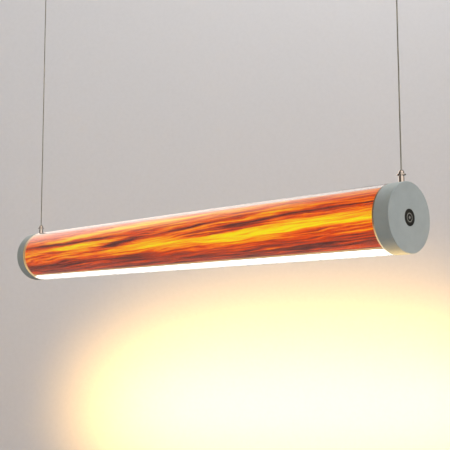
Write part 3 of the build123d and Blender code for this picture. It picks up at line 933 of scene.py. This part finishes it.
@dataclass
class LampEnd:
    """One end of the lamp: its cap, badge, emblem, end seal and cable gripper.

    Attributes:
        side: which end it is.
        cap_wall: wall of the cap.
        cap_round: rounding of the cap's front edge.
        lip_round: rounding of the cap's inner rim.
        recess_radius: radius of the badge's recess.
        badge_thickness: thickness of the badge.
        groove: width of the shadow gap round the badge.
        hole_radius: radius of the hole that the gripper stands in.
        boss_radius: radius of the boss for the tie screw.
        screw_radius: radius of that screw's hole.
        spring_wire: diameter of the spring's wire.
        spring_turns: turns of the spring.
        spring_flats: flats in one turn of it.
        press: how far the plunger goes down; it is not used.
    """

    side: Side
    cap_wall: float = 4.0 * MM
    cap_round: float = 0.9 * MM
    lip_round: float = 0.3 * MM
    recess_radius: float = 12.1 * MM
    badge_thickness: float = 2.0 * MM
    groove: float = 0.1 * MM
    hole_radius: float = 5.05 * MM
    boss_radius: float = 8.0 * MM
    screw_radius: float = 3.3 * MM
    spring_wire: float = 0.5 * MM
    spring_turns: int = 6
    spring_flats: int = 24
    press: float = 1.2 * MM

    def __post_init__(self) -> None:
        """Reads this end's places from the frame."""
        low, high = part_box(self.side.node("end_cap"))
        self.axis_height = (low.z + high.z) / 2
        self.radius = high.y
        face_x = high.x if self.side is Side.RIGHT else low.x
        self.width = high.x - low.x
        self.face = Vector((face_x, 0.0, self.axis_height))
        self.inwards = Vector((-self.side.value, 0.0, 0.0))
        body_low, body_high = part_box(self.side.node("gripper_body"))
        self.gripper_x = (body_low.x + body_high.x) / 2
        self.level_lathe = Lathe(self.face, self.inwards, 160)
        self.upright_lathe = Lathe(ALONG * self.gripper_x, UP, 64)

    def cap(self) -> Piece:
        """Cup-shaped cap, with the badge's recess and the hole for the gripper."""
        inside = self.radius - self.cap_wall
        deep = self.badge_thickness
        shell = self.level_lathe.spun(
            [
                Corner(self.recess_radius, 0.0, 0.15 * MM),
                Corner(self.radius, 0.0, self.cap_round),
                Corner(self.radius, self.width, self.lip_round),
                Corner(inside, self.width, self.lip_round),
                Corner(inside, self.cap_wall),
                Corner(self.boss_radius, self.cap_wall),
                Corner(self.boss_radius, self.width),
                Corner(self.screw_radius, self.width),
                Corner(self.screw_radius, deep),
                Corner(self.recess_radius, deep),
            ]
        )
        cap = finish_mesh(self.side.node("cap"), shell)
        cap.modifiers.clear()  # The hole is cut first, and the normals are weighed after it.
        hole, top = self.hole_radius, self.axis_height + self.radius
        above, below = top + 2 * MM, top - 3 * self.cap_wall
        drill = self.upright_lathe.turned(
            "gripper_drill",
            [Corner(0.0, above), Corner(hole, above), Corner(hole, below), Corner(0.0, below)],
        )
        cut = cap.modifiers.new("gripper_hole", "BOOLEAN")
        cut.object = drill
        cut.operation = "DIFFERENCE"
        bpy.context.view_layer.update()
        graph = bpy.context.evaluated_depsgraph_get()
        drilled = bpy.data.meshes.new_from_object(cap.evaluated_get(graph))
        cap.modifiers.clear()
        cap.data = drilled
        cap.data.set_sharp_from_angle(angle=SMOOTH_BELOW)
        weigh_normals(cap)
        bpy.data.objects.remove(drill)
        POWDER_COAT.put_on(cap)
        return cap

    def badge(self) -> list[Piece]:
        """Black disc in the cap's face, with a plain ring and dot let into it."""
        edge = self.recess_radius - self.groove
        ring_out, ring_in, dot = 6.5 * MM, 5.4 * MM, 2.0 * MM
        sunk, shown, worn = 0.3 * MM, 0.02 * MM, 0.1 * MM
        disc = self.level_lathe.turned(
            self.side.node("badge_disc"),
            [
                Corner(0.0, sunk),
                Corner(dot, sunk),
                Corner(dot, 0.0),
                Corner(ring_in, 0.0),
                Corner(ring_in, sunk),
                Corner(ring_out, sunk),
                Corner(ring_out, 0.0),
                Corner(edge, 0.0, 0.3 * MM),
                Corner(edge, self.badge_thickness),
                Corner(0.0, self.badge_thickness),
            ],
        )
        BADGE_BLACK.put_on(disc)
        signs = self.level_lathe.spun(
            [
                Corner(ring_in, sunk),
                Corner(ring_out, sunk),
                Corner(ring_out, shown, worn),
                Corner(ring_in, shown, worn),
            ]
        )
        self.level_lathe.spun(
            [Corner(0.0, sunk), Corner(dot, sunk), Corner(dot, shown, worn), Corner(0.0, shown)],
            into=signs,
        )
        emblem = finish_mesh(self.side.node("emblem"), signs)
        EMBLEM_STEEL.put_on(emblem)
        return [disc, emblem]

    def seal(self) -> Piece:
        """Soft ring between cap and tube, whose lip reaches into the tube's bore."""
        low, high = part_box(self.side.node("end_seal"))
        depth = high.x - low.x
        rim = high.y
        flange = 1.0 * MM
        bore = self.radius - 3.2 * MM
        lip = bore - 2.2 * MM
        inner = rim - 7.4 * MM
        ring = self.level_lathe.turned(
            self.side.node("seal_ring"),
            [
                Corner(inner, self.width),
                Corner(rim, self.width, 0.2 * MM),
                Corner(rim, self.width + flange, 0.2 * MM),
                Corner(bore, self.width + flange),
                Corner(bore, self.width + depth, 0.4 * MM),
                Corner(lip, self.width + depth, 0.4 * MM),
                Corner(lip, self.width + flange),
                Corner(inner, self.width + flange),
            ],
        )
        SEAL.put_on(ring)
        return ring

    def gripper(self) -> list[Piece]:
        """Nickel barrel, its release plunger with ball head and finger ring, and its bush."""
        low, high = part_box(self.side.node("gripper_body"))
        barrel, guide, chamber, way = high.y, 2.6 * MM, 3.1 * MM, 1.3 * MM
        floor = low.z + 3.0 * MM
        cone_foot = floor + 9.0 * MM
        cone_top = cone_foot + 5.0 * MM
        edge = 0.4 * MM
        body = self.upright_lathe.turned(
            self.side.node("gripper_barrel"),
            [
                Corner(way, low.z),
                Corner(barrel, low.z, edge),
                Corner(barrel, high.z, edge),
                Corner(guide, high.z, 0.15 * MM),
                Corner(guide, cone_top),
                Corner(chamber, cone_foot),
                Corner(chamber, floor),
                Corner(way, floor),
            ],
        )
        foot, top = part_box(self.side.node("release_plunger"))
        sleeve, ring, head = 2.5 * MM, top.y, 4.0 * MM
        ring_foot = high.z + 1.4 * MM
        ring_top = ring_foot + 1.6 * MM
        middle = top.z - head
        waist = atan2(ring_top - middle, 3.8 * MM)
        plunger = self.upright_lathe.turned(
            self.side.node("plunger"),
            [
                Corner(way, foot.z),
                Corner(sleeve, foot.z, 0.1 * MM),
                Corner(sleeve, ring_foot),
                Corner(ring, ring_foot, 0.45 * MM),
                Corner(ring, ring_top, 0.45 * MM),
                *arc(head, middle, 90.0 - degrees(waist), 31.0, 14),
                Corner(2.0 * MM, top.z - 0.54 * MM),
                Corner(way, top.z - 1.2 * MM),
            ],
        )
        NICKEL.put_on(body, plunger)
        bush_low, bush_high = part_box(self.side.node("gripper_insulator"))
        bush_bore, stem, flange = barrel + 0.05 * MM, 5.0 * MM, bush_high.y
        flange_top = bush_low.z + 1.2 * MM
        bush = self.upright_lathe.turned(
            self.side.node("bush"),
            [
                Corner(bush_bore, bush_low.z),
                Corner(flange, bush_low.z, 0.2 * MM),
                Corner(flange, flange_top, 0.2 * MM),
                Corner(stem, flange_top),
                Corner(stem, bush_high.z, 0.2 * MM),
                Corner(bush_bore, bush_high.z),
            ],
        )
        NYLON.put_on(bush)
        return [body, plunger, bush]

    def spring(self) -> Piece:
        """Coil spring in the barrel."""
        low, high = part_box(self.side.node("gripper_spring"))
        wire = self.spring_wire / 2
        coil = high.y - wire
        rise = high.z - low.z - self.spring_wire
        steps = self.spring_turns * self.spring_flats
        bm = bmesh.new()
        start = Matrix.Translation((self.gripper_x + coil, 0.0, low.z + wire))
        upright = Matrix.Rotation(pi / 2, 4, "X")
        bmesh.ops.create_circle(bm, cap_ends=True, segments=10, radius=wire, matrix=start @ upright)
        bmesh.ops.spin(
            bm,
            geom=[*bm.verts, *bm.edges, *bm.faces],
            cent=ALONG * self.gripper_x,
            axis=UP,
            dvec=UP * rise / steps,
            angle=tau * self.spring_turns,
            steps=steps,
        )
        spring = finish_mesh(self.side.node("spring"), bm)
        ZINC.put_on(spring)
        return spring

    def build(self) -> list[Piece]:
        """Builds and dresses the pieces of this end.

        Returns:
            The new pieces.
        """
        node_of = self.side.node
        cap = self.cap()
        disc, emblem = self.badge()
        seal = self.seal()
        body, plunger, bush = self.gripper()
        spring = self.spring()
        for piece, node, slot in (
            (cap, node_of("end_cap"), "cap_paint"),
            (disc, node_of("badge"), "badge_black"),
            (emblem, "badge_emblems", "emblem_metal"),
            (seal, node_of("end_seal"), "seal_silicone"),
            (body, node_of("gripper_body"), "nickel_plate"),
            (bush, node_of("gripper_insulator"), "nylon_white"),
            (spring, node_of("gripper_spring"), "screw_steel"),
        ):
            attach(piece, "lamp")
            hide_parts(node)
        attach(plunger, node_of("release"))
        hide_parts(node_of("release_plunger"))
        low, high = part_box(node_of("gripper_spring"))
        f"press_{node_of('release')}"
        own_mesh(spring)
        return [cap, disc, emblem, seal, body, plunger, bush, spring]


@dataclass
class CeilingFitting:
    """The turned cup at the ceiling that hides a cable's swivel.

    Attributes:
        side: the end of the lamp that it carries.
        wall: wall of the cup.
        shoulder_round: rounding of the cup's lower edge.
        ball_radius: radius of the swivel ball.
        seat_radius: radius of the round seat that it turns in.
    """

    side: Side
    wall: float = 2.5 * MM
    shoulder_round: float = 3.0 * MM
    ball_radius: float = 6.0 * MM
    seat_radius: float = 6.05 * MM

    def build(self) -> Piece:
        """Builds the cup, with the swivel ball's seat in its bottom.

        Returns:
            The cup.
        """
        low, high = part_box(self.side.node("ceiling_cup"))
        outside = high.y
        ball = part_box(self.side.node("swivel_ball"))[0].z + self.ball_radius
        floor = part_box(self.side.node("ball_retainer"))[0].z
        drop = ball - low.z
        mouth = degrees(atan2((self.seat_radius**2 - drop**2) ** 0.5, drop))
        cup = Lathe(ALONG * ((low.x + high.x) / 2), UP, 128).turned(
            self.side.node("cup"),
            [
                *arc(self.seat_radius, ball, 90.0, 180.0 - mouth, 12),
                Corner(outside, low.z, self.shoulder_round),
                Corner(outside, high.z, 0.2 * MM),
                Corner(outside - self.wall, high.z, 0.2 * MM),
                Corner(outside - self.wall, floor),
                Corner(self.seat_radius, floor),
            ],
        )
        NICKEL.put_on(cup)
        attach(cup, "ceiling_fittings")
        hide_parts(self.side.node("ceiling_cup"))
        return cup


# The finish of each material slot, for the frame's own parts that keep their shape.
FINISH_OF_SLOT: dict[str, Finish] = {
    "cap_paint": POWDER_COAT,
    "badge_black": BADGE_BLACK,
    "emblem_metal": EMBLEM_STEEL,
    "clear_acrylic": ACRYLIC,
    "veneer": EDGE_BAND,
    "shade_liner": LINER,
    "edge_veneer": EDGE_BAND,
    "opal_plastic": OPAL,
    "seal_silicone": SEAL,
    "spine_aluminium": ALUMINIUM,
    "reflector_white": ENAMEL,
    "board_white": BOARD,
    "led_package": LED,
    "screw_steel": ZINC,
    "nickel_plate": NICKEL,
    "plain_brass": BRASS,
    "cable_steel": WIRE,
    "nylon_white": NYLON,
    "grommet_rubber": RUBBER,
    "lead_sleeve": SLEEVE,
}


def dress_carried_parts() -> int:
    """Gives every shown part of the frame its finish.

    Returns:
        How many parts were dressed.
    """
    shown = [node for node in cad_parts.values() if not node.hide_render]
    for node in shown:
        FINISH_OF_SLOT[node.material_slots[0].material.name.split(".")[0]].put_on(node)
    return len(shown)


# ---- stage, light and camera


@dataclass
class Viewpoint:
    """The camera: right of the lamp and a little below it, looking slightly up along it.

    Attributes:
        place: where it stands.
        heading: turn to the left of +Y, in degrees.
        tilt: how far it looks up, in degrees.
        lean: how far it leans sideways, in degrees.
        lens: focal length in millimetres.
        sensor: width of the sensor in millimetres.
        reach: the furthest that it sees.
    """

    place: tuple[float, float, float] = (1.13766, -0.98534, -0.76022)
    heading: float = 46.19
    tilt: float = 6.43
    lean: float = -0.2
    lens: float = 68.47
    sensor: float = 36.0
    reach: float = 30.0

    def build(self) -> Piece:
        """Adds the camera and makes it the scene's own."""
        data = bpy.data.cameras.new("viewpoint")
        data.sensor_width = self.sensor
        data.lens = self.lens
        data.clip_end = self.reach
        camera = bpy.data.objects.new("viewpoint", data)
        turn = Matrix.Rotation(radians(self.heading), 4, "Z")
        tip = Matrix.Rotation(radians(90 + self.tilt), 4, "X")
        roll = Matrix.Rotation(radians(self.lean), 4, "Z")
        camera.matrix_world = Matrix.Translation(self.place) @ turn @ tip @ roll
        bpy.context.scene.collection.objects.link(camera)
        bpy.context.scene.camera = camera
        return camera


@dataclass(frozen=True)
class SoftLight:
    """One soft rectangular light, which lights things but isn't seen itself.

    Attributes:
        name: its name.
        place: where it stands.
        aim: the point that it faces.
        power: watts.
        size: width and height.
        colour: its colour, as sRGB hex.
        spread: angle that its light fans out over, in degrees.
    """

    name: str
    place: tuple[float, float, float]
    aim: tuple[float, float, float]
    power: float
    size: tuple[float, float]
    colour: str
    spread: float = 180.0

    def build(self) -> Piece:
        """Adds the light to the scene."""
        data = bpy.data.lights.new(self.name, "AREA")
        data.shape = "RECTANGLE"
        data.size, data.size_y = self.size
        data.energy = self.power
        data.color = linear(self.colour)[:3]
        data.spread = radians(self.spread)
        light = bpy.data.objects.new(self.name, data)
        facing = (Vector(self.aim) - Vector(self.place)).to_track_quat("-Z", "Y")
        light.matrix_world = Matrix.Translation(self.place) @ facing.to_matrix().to_4x4()
        light.visible_camera = False
        light.visible_glossy = False
        light.visible_transmission = False
        bpy.context.scene.collection.objects.link(light)
        return light


LAMP_MIDDLE = (0.0, 0.0, -0.62)
LIGHTS = (
    SoftLight("soft_top", (0.0, 1.0, 3.0), LAMP_MIDDLE, 262.0, (3.6, 3.6), "f8fbff"),
    SoftLight("front_fill", (0.3, -2.9, 0.0), LAMP_MIDDLE, 22.0, (2.0, 2.0), "fffbf2"),
    SoftLight("side_fill", (2.6, 0.3, 0.1), (0.48, 0.0, -0.62), 27.0, (0.9, 0.9), "eef4ff"),
    # The warm pool that the lamp throws on the wall, the faint wide glow round it, and the
    # bounce under the right cap.
    SoftLight(
        "wall_pool", (-1.491, 2.066, -1.24), (-1.988, 2.755, -1.24), 34.0, (2.1, 0.12), "ffcb73",
        spread=108.0,
    ),
    SoftLight("wall_halo", (-0.95, 1.3, -1.0), (-1.9, 2.6, -1.15), 7.5, (1.6, 0.3), "ffd2a0"),
    SoftLight("bounce", (0.42, 0.28, -0.93), (0.46, 0.0, -0.66), 8.0, (0.25, 0.25), "ffd08a"),
)


@dataclass
class Studio:
    """A round pale room, with soft surroundings that only reflections show.

    Attributes:
        radius: radius of the room.
        floor: height of its floor.
        top: height of its ceiling.
        cove: rounding where wall meets floor and ceiling.
        sky: brightness of the surroundings in reflections.
        sky_tint: their colour, as sRGB hex.
        glow: brightness of the soft glow high on the left.
        glow_direction: where it lies.
        side_glow: brightness of the broader glow on the right.
        side_direction: where that one lies.
    """

    radius: float = 3.4
    floor: float = -2.8
    top: float = 3.2
    cove: float = 0.4
    sky: float = 0.05
    sky_tint: str = "ffece0"
    glow: float = 1.8
    glow_direction: tuple[float, float, float] = (-0.876, 0.262, 0.404)
    side_glow: float = 1.1
    side_direction: tuple[float, float, float] = (0.86, -0.30, 0.41)

    def room(self) -> Piece:
        """Floor, wall and ceiling in one sweep, with wide coves between them."""
        bm = Lathe(ORIGIN, UP, 128).spun(
            [
                Corner(0.0, self.floor),
                Corner(self.radius, self.floor, self.cove),
                Corner(self.radius, self.top, self.cove),
                Corner(0.0, self.top),
            ],
            closed=False,
        )
        room = finish_mesh("room", bm)
        PLASTER.put_on(room)
        return room

    def sky_dome(self) -> None:
        """Dim surroundings for reflections, with a glow high on the left and one on the right."""
        world = bpy.data.worlds.new("soft_sky")
        world.use_nodes = True
        tree = world.node_tree
        direction = add_node(tree, "TexCoord").outputs["Generated"]

        def patch(middle: tuple, start: float, end: float, dim: float, bright: float) -> Field:
            """A soft round patch, brightest at its middle."""
            towards = add_node(tree, "VectorMath", {0: direction, 1: middle}, operation="DOT_PRODUCT")
            values = {"Value": towards.outputs["Value"], "From Min": start, "From Max": end}
            values |= {"To Min": dim, "To Max": bright}
            shade = add_node(tree, "MapRange", values, interpolation_type="SMOOTHSTEP")
            return Field(tree, shade.outputs["Result"])

        left = patch(self.glow_direction, 0.78, 0.97, self.sky, self.glow)
        both = left + patch(self.side_direction, 0.35, 0.9, 0.0, self.side_glow)
        background = tree.nodes["Background"]
        background.inputs["Color"].default_value = linear(self.sky_tint)
        tree.links.new(both.socket, background.inputs["Strength"])
        bpy.context.scene.world = world

    def build(self) -> None:
        """Sets the sky, the room and the lights."""
        self.sky_dome()
        bpy.context.scene.view_settings.view_transform = "Standard"
        self.room().visible_glossy = False
        for light in LIGHTS:
            light.build()


def main() -> None:
    """Builds the lamp's looks, its stage and its camera."""
    logging.basicConfig(level=logging.INFO, format="%(name)s: %(message)s")
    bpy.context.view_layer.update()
    Viewpoint().build()
    pieces = []
    for side in Side:
        cup = CeilingFitting(side).build()
        pieces += [cup, Cable(side).build(cup)]
    pieces += TubeAndShade().build()
    for side in Side:
        pieces += LampEnd(side).build()
    for piece in pieces:
        log.info("%s: %d faces", piece.name, len(piece.data.polygons))
    log.info("%d parts of the frame dressed", dress_carried_parts())
    Studio().build()


if __name__ == "__main__":
    main()
